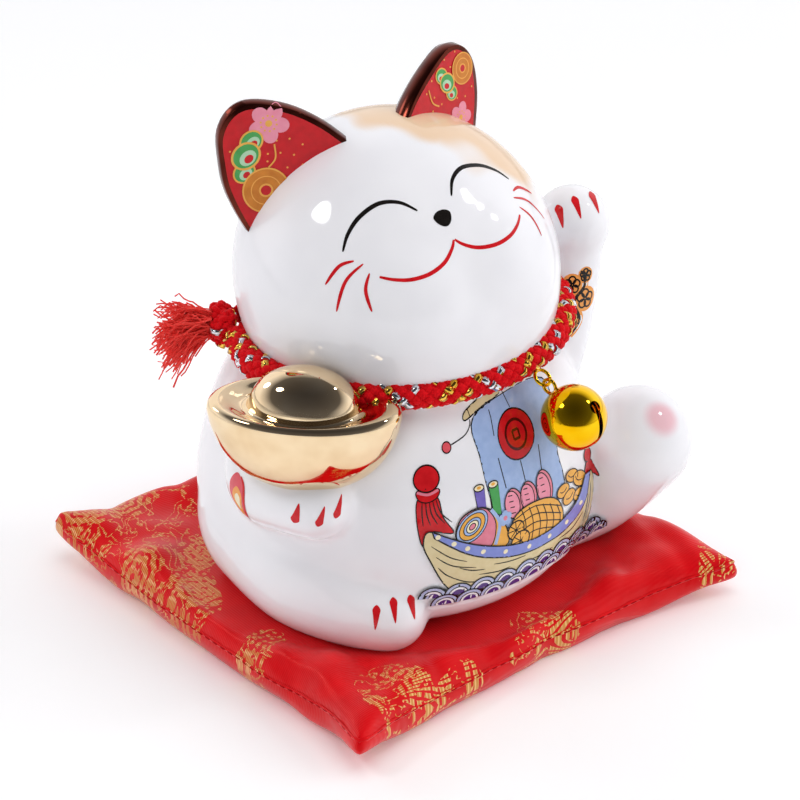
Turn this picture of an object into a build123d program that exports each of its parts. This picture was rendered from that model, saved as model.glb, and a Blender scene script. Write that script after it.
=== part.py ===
"""Glazed ceramic lucky cat on a brocade cushion, with a gold ingot, a braided collar and a bell.

Millimetres, +Z up. The origin is the middle of the cushion's underside. The cat faces -Y, so its
right hand is on -X and its raised left hand is on +X.
"""
from build123d import *
import math
import os

# Cushion: two brocade covers round a thin filling.
CUSHION_WIDTH = 100.0
CUSHION_HEIGHT = 9.0
CUSHION_WAIST = 3.0
COVER_THICKNESS = 0.8
COVER_SLOPE = 38.0

# Ceramic: slip-cast shells, luted together before firing.
WALL = 3.0
SEAT_Z = CUSHION_HEIGHT
NECK_Z = 60.0
NECK_HOLE_RADIUS = 22.0
VENT_RADIUS = 2.5

# Torso outline, radius and height: a belly arc from the seat, then a shoulder arc to the neck.
TORSO_SEAT = (34.0, 9.0)
TORSO_BELLY = (39.2, 24.0)
TORSO_CHEST = (36.4, 42.0)
TORSO_SHOULDER = (32.6, 53.0)
TORSO_NECK = (26.6, 60.0)

# Head: a ball, its face tipped back and turned to the cat's right.
HEAD_CENTRE = (0.3, 0.0, 71.1)
HEAD_RADIUS = 31.8
HEAD_TURN = -14.4
HEAD_TIP = -45.4
HEAD_ROLL = -10.8

# Ears, in the head's own frame: +X the cat's left, -Y the face, +Z the crown.
EAR_ROOT = (16.4, -12.0, 21.8)
EAR_AXIS = (0.487, -0.375, 0.79)
EAR_WIDE = (0.74, 0.59, -0.32)
EAR_HALF_WIDTH = 14.5
EAR_HALF_THICKNESS = 6.5
EAR_HEIGHT = 14.0
EAR_TIP_RATIO = 0.2

# Limbs: ball centres along each limb and the radius at each.
RAISED_ARM = [((26.0, -7.0, 40.0), 11.0), ((35.0, -7.0, 56.0), 8.2), ((39.8, -7.0, 71.0), 7.6)]
INGOT_ARM = [((-26.0, 2.0, 46.0), 10.0), ((-36.0, -6.0, 39.5), 8.0), ((-34.0, -18.0, 40.0), 7.2)]
LEFT_LEG = [((33.0, -20.0, 20.5), 12.8), ((37.7, -31.0, 32.3), 11.2)]
RIGHT_LEG = [((-24.0, -9.0, 22.0), 15.5), ((-26.5, -20.0, 17.0), 10.5), ((-27.0, -28.0, 15.0), 7.8)]
TAIL = [((6.0, 30.0, 17.0), 5.5), ((13.0, 36.0, 20.0), 5.0), ((18.0, 37.0, 26.0), 4.5)]

# Gold ingot, held in front of the cat's right shoulder.
INGOT_PLACE = (-34.5, -15.0, 60.5)
INGOT_TURN = -47.0
INGOT_LENGTH = 36.5
INGOT_WIDTH = 21.0
INGOT_DEPTH = 16.5
INGOT_DOME_SEMI = (10.8, 8.0, 8.0)
INGOT_SCOOP_RADIUS = 60.0
INGOT_SCOOP_DEPTH = 2.2

# Collar: a braided cord round the neck, tied behind the cat's right shoulder.
CORD_DIAMETER = 6.0
CORD_CENTRE = (2.0, -2.0, 60.5)
CORD_SEMI = (31.5, 28.0)
CORD_CORNERS = 12
CORD_GAP_ANGLE = 4.0
CORD_CLEARANCE = 0.1
KNOT_ANGLE = 142.0
KNOT_RADIUS = 4.0
KNOT_REACH = 6.6
TASSEL_LENGTH = 14.0
TASSEL_START_RADIUS = 2.2
TASSEL_END_RADIUS = 6.5
TASSEL_DROOP = 0.2

# Bell: two pressed brass halves with a slot, an eye, a loose pellet and a jump ring.
BELL_ANGLE = -77.0
BELL_LEAN = 52.0
BELL_RADIUS = 6.5
BELL_WALL = 0.5
BELL_SINK = 0.3
BELL_SLOT_WIDTH = 1.2
BELL_HOLE_RADIUS = 1.3
BELL_HOLE_ANGLE = 78.0
WIRE_RADIUS = 0.35
JUMP_RING_RADIUS = 1.7
EYE_RADIUS = 1.45
EYE_OFFSET = 0.5
PELLET_RADIUS = 1.9
PELLET_CLEARANCE = 0.05
BELL_DROP = EYE_OFFSET + EYE_RADIUS + BELL_RADIUS - WIRE_RADIUS

BIG = 300.0


def place(point, turn=0.0, tip=0.0, roll=0.0):
    """A location that rolls about Y, then tips about X, then turns about Z, then moves."""
    return Pos(*point) * Rot(0, 0, turn) * Rot(tip, 0, 0) * Rot(0, roll, 0)


def above(height):
    """Everything above a height."""
    return Pos(0, 0, height + BIG / 2) * Box(BIG, BIG, BIG)


def below(height):
    """Everything below a height."""
    return Pos(0, 0, height - BIG / 2) * Box(BIG, BIG, BIG)


def ball(centre, semi):
    """An ellipsoid with the three half lengths, not turned."""
    unit = Sphere(10.0)
    return Pos(*centre) * scale(unit, by=(semi[0] / 10.0, semi[1] / 10.0, semi[2] / 10.0))


# ---------------------------------------------------------------- cushion
def cushion_half(half_width, waist, rise, slope):
    """One half of a cushion: four sides that pull in between sharp corners, narrowing upwards."""
    corners = [(half_width, half_width), (-half_width, half_width),
               (-half_width, -half_width), (half_width, -half_width)]
    middles = [(0, half_width - waist), (-half_width + waist, 0),
               (0, -half_width + waist), (half_width - waist, 0)]
    sides = []
    for k in range(4):
        sides.append(ThreePointArc(corners[k], middles[k], corners[(k + 1) % 4]))
    outline = make_face(Curve() + sides)
    return extrude(outline, amount=rise, taper=slope)


def make_cushion():
    """Covers above and below the seam, and the filling that they hold."""
    half = CUSHION_HEIGHT / 2
    outer = cushion_half(CUSHION_WIDTH / 2, CUSHION_WAIST, half, COVER_SLOPE)
    inner = cushion_half(CUSHION_WIDTH / 2 - 2.0, CUSHION_WAIST, half - COVER_THICKNESS, COVER_SLOPE)
    top_cover = Pos(0, 0, half) * (outer - inner)
    bottom_cover = Pos(0, 0, half) * mirror(outer - inner, about=Plane.XY)
    filling = Pos(0, 0, half) * (inner + mirror(inner, about=Plane.XY))
    return {"cushion_top_cover": top_cover, "cushion_bottom_cover": bottom_cover,
            "cushion_filling": filling}


# ---------------------------------------------------------------- ceramic
def torso_body(inset):
    """The torso as a turned solid, its outline moved in by inset."""
    seat, belly, chest, shoulder, neck = [
        (radius - inset, height) for radius, height in
        (TORSO_SEAT, TORSO_BELLY, TORSO_CHEST, TORSO_SHOULDER, TORSO_NECK)]
    side = [ThreePointArc(seat, belly, chest), ThreePointArc(chest, shoulder, neck)]
    ends = [Line((0, seat[1]), seat), Line(neck, (0, neck[1])), Line((0, neck[1]), (0, seat[1]))]
    return revolve(Plane.XZ * make_face(Curve() + side + ends), axis=Axis.Z)


def head_body(inset):
    """The head as a closed ball, its radius less inset."""
    return Pos(*HEAD_CENTRE) * Sphere(HEAD_RADIUS - inset)


def limb(stations):
    """A tapered limb: balls joined by cones."""
    body = Pos(*stations[0][0]) * Sphere(stations[0][1])
    for (start, first), (end, second) in zip(stations, stations[1:]):
        span = Vector(*end) - Vector(*start)
        stretch = Plane(origin=start, z_dir=span) * Cone(
            first, second, span.length, align=(Align.CENTER, Align.CENTER, Align.MIN))
        body = body + stretch + Pos(*end) * Sphere(second)
    return body


def ear(side):
    """One ear, before it is cut to the head; side is 1 for the cat's left and -1 for its right."""
    root = (side * EAR_ROOT[0], EAR_ROOT[1], EAR_ROOT[2])
    axis = (side * EAR_AXIS[0], EAR_AXIS[1], EAR_AXIS[2])
    wide = (side * EAR_WIDE[0], EAR_WIDE[1], EAR_WIDE[2])
    tip = EAR_HALF_WIDTH * EAR_TIP_RATIO
    cone = Cone(EAR_HALF_WIDTH, tip, EAR_HEIGHT, align=(Align.CENTER, Align.CENTER, Align.MIN))
    rounded = cone + Pos(0, 0, EAR_HEIGHT) * Sphere(tip)
    flat = scale(rounded, by=(1, EAR_HALF_THICKNESS / EAR_HALF_WIDTH, 1))
    own = Plane(origin=root, x_dir=wide, z_dir=axis) * flat
    return place(HEAD_CENTRE, HEAD_TURN, HEAD_TIP, HEAD_ROLL) * own


def ingot_body():
    """A boat-shaped ingot: a deep hull, a deck that dips between the tips, and a dome."""
    hull = ball((0, 0, 0), (INGOT_LENGTH / 2, INGOT_WIDTH / 2, INGOT_DEPTH)) & below(0.5)
    scoop_z = INGOT_SCOOP_RADIUS - INGOT_SCOOP_DEPTH
    scoop = Pos(0, 0, scoop_z) * Rot(90, 0, 0) * Cylinder(INGOT_SCOOP_RADIUS, 2 * INGOT_WIDTH)
    dome = ball((0, 0, -INGOT_SCOOP_DEPTH), INGOT_DOME_SEMI) & above(-INGOT_DEPTH / 2)
    return place(INGOT_PLACE, INGOT_TURN) * ((hull - scoop) + dome)


# ---------------------------------------------------------------- collar
def ring_point(degrees, grow=1.0):
    """A point on the collar's centre line, at an angle round the neck from +X."""
    angle = math.radians(degrees)
    return (CORD_CENTRE[0] + grow * CORD_SEMI[0] * math.cos(angle),
            CORD_CENTRE[1] + grow * CORD_SEMI[1] * math.sin(angle), CORD_CENTRE[2])


def cord_path():
    """The collar's route: straight runs and tangent arcs from one side of the knot to the other."""
    start = KNOT_ANGLE + CORD_GAP_ANGLE
    step = (360.0 - 2 * CORD_GAP_ANGLE) / CORD_CORNERS
    grow = 1 / math.cos(math.radians(step / 2))
    points = [Vector(*ring_point(start))]
    for k in range(CORD_CORNERS):
        points.append(Vector(*ring_point(start + step * (k + 0.5), grow)))
    points.append(Vector(*ring_point(start + step * CORD_CORNERS)))
    radii = []
    for before, here, after in zip(points, points[1:], points[2:]):
        run = min((here - before).length, (after - here).length)
        turn = (here - before).get_angle(after - here)
        radii.append(0.45 * run / math.tan(math.radians(turn / 2)))
    print("collar arc radii, mm:", [round(radius, 1) for radius in radii])
    return FilletPolyline(*points, radius=radii)


def tube(path, radius):
    """A round cord along a path."""
    return sweep(Plane(origin=path @ 0, z_dir=path % 0) * Circle(radius), path=path)


# ---------------------------------------------------------------- bell
def bell_frame():
    """The bell's own frame, at the jump ring's lowest wire: -Z hangs down the chest, X is the hinge."""
    angle = math.radians(BELL_ANGLE)
    outward = Vector(math.cos(angle), math.sin(angle), 0)
    along = Vector(-CORD_SEMI[0] * math.sin(angle), CORD_SEMI[1] * math.cos(angle), 0).normalized()
    lean = math.radians(BELL_LEAN)
    hang = outward * math.sin(lean) - Vector(0, 0, 1) * math.cos(lean)
    hang = (hang - along * hang.dot(along)).normalized()
    cord_edge = Vector(*ring_point(BELL_ANGLE)) + hang * (CORD_DIAMETER / 2 - BELL_SINK)
    pivot = cord_edge + hang * (2 * JUMP_RING_RADIUS)
    return Plane(origin=pivot, x_dir=along, z_dir=hang * -1), pivot, along, hang


def make_bell():
    """The bell's pieces, built hanging straight down from the pivot and then put in place."""
    frame, pivot, along, hang = bell_frame()
    print("bell hinge at", [round(v, 3) for v in pivot], "axis",
          [round(v, 4) for v in along], "hang", [round(v, 4) for v in hang])
    centre = -BELL_DROP
    shell = Pos(0, 0, centre) * (Sphere(BELL_RADIUS) - Sphere(BELL_RADIUS - BELL_WALL))
    way = math.radians(BELL_HOLE_ANGLE)
    hole_z = centre - BELL_RADIUS * math.cos(way)
    slot = Pos(0, 0, centre) * Box(BELL_SLOT_WIDTH, BIG, BIG) & below(hole_z)
    for side in (1, -1):
        middle = (0, side * BELL_RADIUS * math.sin(way), hole_z)
        drill = Pos(*middle) * Rot(90 - side * (90 - BELL_HOLE_ANGLE), 0, 0)
        slot = slot + drill * Cylinder(BELL_HOLE_RADIUS, 6 * BELL_WALL)
    cup = (shell & below(centre)) - slot
    cap = (shell & above(centre)) - slot
    eye = Pos(0, 0, -EYE_OFFSET) * Rot(0, 90, 0) * Torus(EYE_RADIUS, WIRE_RADIUS)
    eye = eye - Pos(0, 0, centre) * Sphere(BELL_RADIUS)
    ring = Pos(0, 0, JUMP_RING_RADIUS) * Rot(90, 0, 0) * Torus(JUMP_RING_RADIUS, WIRE_RADIUS)
    floor = centre - (BELL_RADIUS - BELL_WALL) + PELLET_RADIUS + PELLET_CLEARANCE
    pellet = Pos(0, 0, floor) * Sphere(PELLET_RADIUS)
    pieces = {"bell_cap": cap, "bell_cup": cup, "bell_eye": eye, "bell_jump_ring": ring,
              "bell_pellet": pellet}
    return {name: frame.location * piece for name, piece in pieces.items()}


def make_cat(jump_ring):
    """The ceramic pieces, the ingot and the collar, each cut back to the pieces it meets."""
    torso_outer = torso_body(0)
    head_outer = head_body(0) & above(NECK_Z)
    path = cord_path()
    cord = tube(path, CORD_DIAMETER / 2)
    groove = tube(path, CORD_DIAMETER / 2 + CORD_CLEARANCE)
    length = path.length
    print("collar length", round(length, 1), "volume over section times length",
          round(cord.volume / (math.pi * CORD_DIAMETER ** 2 / 4 * length), 4))

    neck_hole = Pos(0, 0, NECK_Z) * Cylinder(NECK_HOLE_RADIUS, 2 * WALL)
    torso_inner = torso_body(WALL) & above(SEAT_Z + WALL)
    vent = Pos(0, 0, SEAT_Z) * Cylinder(VENT_RADIUS, 3 * WALL)
    torso = torso_outer - torso_inner - vent - groove
    head = head_outer - (head_body(WALL) & above(NECK_Z + WALL)) - neck_hole - groove

    ingot = ingot_body() - torso_outer - head_outer - groove
    ingot_arm = (limb(INGOT_ARM) - torso_outer - head_outer - groove) - ingot_body()
    raised_arm = limb(RAISED_ARM) - torso_outer - head_outer - groove
    left_leg = limb(LEFT_LEG) - torso_outer - below(SEAT_Z)
    right_leg = limb(RIGHT_LEG) - torso_outer - below(SEAT_Z)
    tail = limb(TAIL) - torso_outer

    knot_angle = math.radians(KNOT_ANGLE)
    outward = Vector(math.cos(knot_angle), math.sin(knot_angle), 0)
    knot_centre = Vector(*ring_point(KNOT_ANGLE)) + outward * KNOT_REACH
    knot = Pos(*knot_centre) * Sphere(KNOT_RADIUS)
    tassel_root = knot_centre + outward * (KNOT_RADIUS - CORD_DIAMETER / 4)
    tassel = Plane(origin=tassel_root, z_dir=outward - Vector(0, 0, TASSEL_DROOP)) * Cone(
        TASSEL_START_RADIUS, TASSEL_END_RADIUS, TASSEL_LENGTH,
        align=(Align.CENTER, Align.CENTER, Align.MIN))
    tassel = tassel - knot
    return {"torso_shell": torso, "head_shell": head,
            "left_ear": ear(1) - head_outer, "right_ear": ear(-1) - head_outer,
            "raised_arm": raised_arm, "ingot_arm": ingot_arm, "left_leg": left_leg,
            "right_leg": right_leg, "tail": tail, "gold_ingot": ingot,
            "collar_cord": cord - jump_ring, "collar_knot": knot, "collar_tassel": tassel}


os.makedirs("parts", exist_ok=True)
bell = make_bell()
nodes = {**make_cushion(), **make_cat(bell["bell_jump_ring"]), **bell}
for name, shape in nodes.items():
    solids = shape.solids()
    print(name, len(solids), "solid, box", [round(v, 1) for v in shape.bounding_box().min],
          [round(v, 1) for v in shape.bounding_box().max])
    export_step(shape if len(solids) > 1 else solids[0], "parts/" + name + ".step")
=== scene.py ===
"""The looks of a glazed ceramic lucky cat on a brocade cushion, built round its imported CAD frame."""

import math
import random

import bmesh
import bpy
from mathutils import Matrix, Vector
from mathutils.bvhtree import BVHTree


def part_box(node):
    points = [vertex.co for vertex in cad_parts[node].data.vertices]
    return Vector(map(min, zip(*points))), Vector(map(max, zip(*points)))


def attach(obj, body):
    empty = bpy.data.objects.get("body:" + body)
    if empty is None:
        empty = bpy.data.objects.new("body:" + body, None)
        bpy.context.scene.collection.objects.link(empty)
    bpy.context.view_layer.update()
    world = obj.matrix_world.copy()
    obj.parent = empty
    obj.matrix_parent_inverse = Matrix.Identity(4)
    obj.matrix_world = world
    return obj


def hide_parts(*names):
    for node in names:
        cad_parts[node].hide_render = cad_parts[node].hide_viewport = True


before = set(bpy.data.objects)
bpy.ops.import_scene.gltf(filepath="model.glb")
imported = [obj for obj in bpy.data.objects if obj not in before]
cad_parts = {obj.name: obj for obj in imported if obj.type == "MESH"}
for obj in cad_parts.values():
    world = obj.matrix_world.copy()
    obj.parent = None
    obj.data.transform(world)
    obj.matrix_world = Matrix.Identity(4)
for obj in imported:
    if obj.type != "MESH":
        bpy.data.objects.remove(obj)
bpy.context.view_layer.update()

# Shapes are drawn in millimetres in the frame's own axes, and made metres when a piece is finished.
MM = 0.001
UP = Vector((0, 0, 1))

# ------------------------------------------------------------------ camera and light
CAMERA_AZIMUTH = -39.4
CAMERA_ELEVATION = 30.6
CAMERA_DISTANCE = 0.650
CAMERA_TARGET = (0.0011, 0.0, 0.0411)
CAMERA_LENS = 145.9
LIGHT_TARGET = (0, 0, 0.05)
# Each round soft box: azimuth, elevation, distance, width, power, and whether the gloss mirrors it.
LIGHTS = {"key_box": (-118, 50, 1.0, 0.22, 1.4, True),
          "rear_box": (-156, 30, 1.1, 0.3, 0.8, True),
          "far_spot": (62, 48, 1.0, 0.09, 0.5, True),
          "ceiling_fill": (20, 82, 1.2, 1.2, 6.3, False),
          "right_fill": (48, 24, 1.2, 0.9, 4.8, False),
          "front_fill": (-62, 18, 1.4, 0.9, 4.2, False)}
# The studio's walls are bright but for one unlit side, in this direction.
DARK_SIDE = (-0.36, -0.42, 0.83)
ROOM_TONES = [(0.0, "#FFFFFF"), (0.52, "#F6F6FA"), (0.64, "#C4C5CA"), (0.75, "#5A5A5E"),
              (1.0, "#38383C")]
ROOM_STRENGTH = 1.12


def look_from(name, data, target, azimuth, elevation, distance):
    """Puts a camera or a lamp out to one side of a target, looking at it."""
    turn, rise = math.radians(azimuth), math.radians(elevation)
    back = Vector((math.sin(turn) * math.cos(rise), -math.cos(turn) * math.cos(rise), math.sin(rise)))
    made = bpy.data.objects.new(name, data)
    made.location = Vector(target) + back * distance
    made.rotation_euler = back.to_track_quat("Z", "Y").to_euler()
    bpy.context.scene.collection.objects.link(made)
    return made


def make_camera():
    """The camera looks down on the cat from its own right."""
    data = bpy.data.cameras.new("camera")
    data.lens = CAMERA_LENS
    bpy.context.scene.camera = look_from("camera", data, CAMERA_TARGET, CAMERA_AZIMUTH,
                                         CAMERA_ELEVATION, CAMERA_DISTANCE)


def make_lights():
    """The soft boxes; one that isn't mirrored is kept out of the gloss."""
    for name, (azimuth, elevation, distance, width, power, mirrored) in LIGHTS.items():
        data = bpy.data.lights.new(name, "AREA")
        data.shape = "DISK"
        data.size = width
        data.energy = power
        lamp = look_from(name, data, LIGHT_TARGET, azimuth, elevation, distance)
        lamp.visible_glossy = mirrored


# ------------------------------------------------------------------ materials
def linear(code):
    """An sRGB hex colour as linear red, green, blue and alpha."""
    parts = [int(code[k:k + 2], 16) / 255 for k in (1, 3, 5)]
    return [c / 12.92 if c <= 0.04045 else ((c + 0.055) / 1.055) ** 2.4 for c in parts] + [1.0]


def add(tree, kind, settings=None, links=None):
    """Adds a node, sets its attributes or sockets by name, and joins its inputs to other sockets."""
    made = tree.nodes.new(kind)
    for key, value in (settings or {}).items():
        if isinstance(key, str) and hasattr(made, key):
            setattr(made, key, value)
        else:
            made.inputs[key].default_value = value
    for key, socket in (links or {}).items():
        tree.links.new(socket, made.inputs[key])
    return made


def new_material(name, settings):
    """A material with one Principled shader; returns it, its tree and its shader."""
    material = bpy.data.materials.new(name)
    material.use_nodes = True
    tree = material.node_tree
    shader = tree.nodes["Principled BSDF"]
    for key, value in settings.items():
        shader.inputs[key].default_value = value
    return material, tree, shader


def object_place(tree, scale=1.0):
    """Object coordinates in units of 1/scale metres."""
    place = add(tree, "ShaderNodeTexCoord")
    sized = add(tree, "ShaderNodeVectorMath", {"operation": "SCALE", "Scale": scale},
                {0: place.outputs["Object"]})
    return sized.outputs[0]


def ramp(tree, factor, stops):
    """A colour ramp with stops of (position, hex)."""
    made = add(tree, "ShaderNodeValToRGB", None, {"Fac": factor})
    elements = made.color_ramp.elements
    while len(elements) < len(stops):
        elements.new(0.5)
    for element, (position, code) in zip(elements, stops):
        element.position = position
        element.color = linear(code)
    return made.outputs["Color"]


def noise(tree, place, scale, detail, **more):
    """The grey of a noise texture."""
    return add(tree, "ShaderNodeTexNoise", {"Scale": scale, "Detail": detail, **more},
               {"Vector": place}).outputs["Fac"]


def calc(tree, operation, *values):
    """A maths node's result; each value is a number or another node's output."""
    made = add(tree, "ShaderNodeMath", {"operation": operation})
    for slot, value in zip(made.inputs, values):
        if isinstance(value, bpy.types.NodeSocket):
            tree.links.new(value, slot)
        else:
            slot.default_value = value
    return made.outputs[0]


def add_bump(tree, shader, height, height_mm, strength=1.0):
    """Relief on a shader, from a grey and its full height."""
    bump = add(tree, "ShaderNodeBump", {"Strength": strength, "Distance": height_mm * MM},
               {"Height": height})
    tree.links.new(bump.outputs["Normal"], shader.inputs["Normal"])


def glaze_ripple(tree, shader, scale_mm, height_mm):
    """The faint waviness of a fired glaze, as a bump."""
    add_bump(tree, shader, noise(tree, object_place(tree, 1 / (scale_mm * MM)), 1.0, 1.0), height_mm)


def colour_by_noise(tree, shader, size_mm, detail, low, high, **more):
    """A base colour that drifts between two stops over patches of a real size."""
    grey = noise(tree, object_place(tree, 1 / (size_mm * MM)), 1.0, detail, **more)
    tree.links.new(ramp(tree, grey, [low, high]), shader.inputs["Base Color"])
    return grey


def make_glaze():
    """Clear gloss glaze on white porcelain: cool white, with airbrushed colour under the glaze."""
    material, tree, shader = new_material(
        "white_glazed_porcelain", {"Roughness": 0.07, "IOR": 1.52, "Subsurface Weight": 0.0})
    cloud = noise(tree, object_place(tree, 1 / (14 * MM)), 1.0, 2.0)
    colour = ramp(tree, cloud, [(0.3, "#F1F0F4"), (0.7, "#F7F6F9")])
    for mask, code in (("calico", "#EBC9A4"), ("rose", "#EE98A6")):
        weight = add(tree, "ShaderNodeAttribute", {"attribute_name": mask})
        mixed = add(tree, "ShaderNodeMix", {"data_type": "RGBA", 7: linear(code)},
                    {0: weight.outputs["Fac"], 6: colour})
        colour = mixed.outputs[2]
    tree.links.new(colour, shader.inputs["Base Color"])
    glaze_ripple(tree, shader, 9.0, 0.01)
    return material


def make_enamel(name, code, dark):
    """A transfer colour fired under the glaze: flat ink, a little uneven, with the glaze's gloss."""
    material, tree, shader = new_material(name, {"Roughness": 0.08, "IOR": 1.5, "Specular IOR Level": 0.3})
    colour_by_noise(tree, shader, 1.6, 3.0, (0.25, dark), (0.75, code))
    return material


def make_lustre(name, deep, pale, roughness):
    """A fired metal lustre: a mirror film with a slightly uneven tone where it pooled."""
    material, tree, shader = new_material(name, {"Roughness": roughness, "Metallic": 1.0})
    colour_by_noise(tree, shader, 6, 2.0, (0.3, deep), (0.7, pale))
    glaze_ripple(tree, shader, 5.0, 0.02)
    return material


def make_yarn(name, deep, pale):
    """Twisted viscose yarn: fine filaments with a soft sheen, 0.12 mm filaments drawn at 0.35 mm."""
    material, tree, shader = new_material(
        name, {"Roughness": 0.7, "Specular IOR Level": 0.2, "Specular Tint": linear("#FF5048"),
               "Sheen Weight": 0.15, "Sheen Roughness": 0.4, "Sheen Tint": linear("#FF3A30")})
    fibre = colour_by_noise(tree, shader, 0.35, 4.0, (0.3, deep), (0.7, pale), Roughness=0.7)
    add_bump(tree, shader, fibre, 0.08, strength=0.8)
    return material


# ------------------------------------------------------------------ making pieces
def finish_piece(name, bm, body, materials, smooth=True, nodes=()):
    """Turns a millimetre bmesh into a finished piece in metres that rides on a body."""
    bmesh.ops.scale(bm, vec=(MM, MM, MM), verts=bm.verts)
    mesh = bpy.data.meshes.new(name)
    bm.to_mesh(mesh)
    bm.free()
    for material in materials:
        mesh.materials.append(material)
    mesh.polygons.foreach_set("use_smooth", [smooth] * len(mesh.polygons))
    piece = bpy.data.objects.new(name, mesh)
    bpy.context.scene.collection.objects.link(piece)
    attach(piece, body)
    if nodes:
        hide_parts(*nodes)
    return piece


def settle(piece):
    """Applies a piece's modifiers and leaves the result as its mesh."""
    bpy.context.view_layer.update()
    seen = piece.evaluated_get(bpy.context.evaluated_depsgraph_get())
    mesh = bpy.data.meshes.new_from_object(seen)
    old = piece.data
    piece.modifiers.clear()
    piece.data = mesh
    mesh.name = piece.name
    bpy.data.meshes.remove(old)
    mesh.polygons.foreach_set("use_smooth", [True] * len(mesh.polygons))


def curve_through(points, steps, closed=False):
    """Points along a smooth Catmull-Rom curve through the given points."""
    points = [Vector(p) for p in points]
    count = len(points)
    spans = count if closed else count - 1
    out = []
    for k in range(spans):
        near = [points[(k + j) % count] if closed else points[min(max(k + j, 0), count - 1)]
                for j in (-1, 0, 1, 2)]
        for s in range(steps):
            t = s / steps
            out.append(0.5 * (2 * near[1] + t * (near[2] - near[0])
                              + t * t * (2 * near[0] - 5 * near[1] + 4 * near[2] - near[3])
                              + t ** 3 * (3 * near[1] - near[0] - 3 * near[2] + near[3])))
    if not closed:
        out.append(points[-1])
    return out


def add_ball(bm, centre, semi, turn=None):
    """An ellipsoid in millimetres."""
    place = Matrix.Translation(centre) @ (turn or Matrix.Identity(4)) @ Matrix.Diagonal((*semi, 1))
    bmesh.ops.create_icosphere(bm, subdivisions=4, radius=1, matrix=place)


def add_limb(bm, stations, steps=10):
    """A tapered limb: balls that run into each other along a smooth line of (centre, radius)."""
    line = curve_through([(*centre, radius) for centre, radius in stations], steps)
    for x, y, z, radius in line:
        add_ball(bm, (x, y, z), (radius,) * 3)


def turned(bm, outline):
    """A form turned about Z, through a smooth profile of (radius, height)."""
    profile = [bm.verts.new((radius, 0, height)) for radius, height, _ in
               curve_through([(r, z, 0) for r, z in outline], 4)]
    edges = [bm.edges.new(pair) for pair in zip(profile, profile[1:])]
    bmesh.ops.spin(bm, geom=profile + edges, cent=(0, 0, 0), axis=(0, 0, 1), angle=2 * math.pi,
                   steps=96, use_merge=True)
    bmesh.ops.remove_doubles(bm, verts=bm.verts, dist=0.01)


# ------------------------------------------------------------------ the cat's own frame
head_low, head_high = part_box("head_shell")
HEAD_RADIUS = (head_high.x - head_low.x) / 2 / MM
HEAD_CENTRE = Vector(((head_high.x + head_low.x) / 2 / MM, (head_high.y + head_low.y) / 2 / MM,
                      head_high.z / MM - HEAD_RADIUS))
HEAD_SEMI = (HEAD_RADIUS * 1.02, HEAD_RADIUS * 0.93, HEAD_RADIUS * 1.035)
HEAD_FRAME = (Matrix.Rotation(math.radians(-14.4), 4, "Z") @ Matrix.Rotation(math.radians(-45.4), 4, "X")
              @ Matrix.Rotation(math.radians(-10.8), 4, "Y"))
SEAT_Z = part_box("cushion_top_cover")[1].z / MM

TORSO_OUTLINE = [(0, 9), (27, 9), (32.2, 9.7), (36.9, 13.3), (40.0, 20), (40.8, 28), (39.3, 37),
                 (36.8, 45), (33.0, 52.5), (28.4, 58.5), (24, 62), (0, 64)]
TORSO_DEPTH = 0.965
RAISED_ARM = [((24.0, -8.0, 38.0), 12.0), ((32.5, -8.0, 50.0), 9.2), ((37.8, -7.0, 61.0), 7.6),
              ((39.6, -6.4, 68.0), 7.3), ((39.8, -7.2, 71.3), 7.8)]
INGOT_ARM = [((-25.0, 2.0, 45.0), 11.0), ((-34.5, -4.0, 39.5), 9.0), ((-35.2, -11.5, 39.5), 8.0),
             ((-34.0, -18.0, 40.0), 7.4)]
LEFT_LEG = [((20.0, -9.0, 22.0), 20.5), ((33.5, -20.0, 20.3), 12.8), ((37.7, -31.0, 32.3), 11.2)]
RIGHT_LEG = [((-21.5, 6.0, 22.0), 19.5), ((-24.0, -7.0, 20.0), 17.6), ((-25.5, -19.0, 16.6), 11.6),
             ((-24.0, -26.8, 14.9), 8.0)]
TAIL = [((6.0, 30.0, 17.0), 5.5), ((13.0, 36.0, 20.0), 5.0), ((18.0, 37.0, 26.0), 4.5)]
FOOT_PAD = Vector((37.4, -38.2, 40.9))
PAD_REACH = 3.4
# The calico patch's two lobes: degrees left of and above the nose, and their half widths.
CALICO_LOBES = ((62, 33, 38, 33), (24, 62, 26, 30))
VOXEL = 0.85
FILLET_PASSES = 14
CERAMIC_NODES = ["torso_shell", "head_shell", "raised_arm", "ingot_arm", "left_leg", "right_leg", "tail"]


def head_point(lon, lat, reach=1.0):
    """A direction on the head: degrees to the cat's left of the nose and above it."""
    a, b = math.radians(lon), math.radians(lat)
    own = Vector((math.sin(a) * math.cos(b), -math.cos(a) * math.cos(b), math.sin(b))) * reach
    return HEAD_FRAME.to_3x3() @ own


def soft_step(value, edge, width):
    """0 outside an edge and 1 inside it, with a soft airbrushed change of the given width."""
    t = min(max((edge + width / 2 - value) / width, 0.0), 1.0)
    return t * t * (3 - 2 * t)


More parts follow.
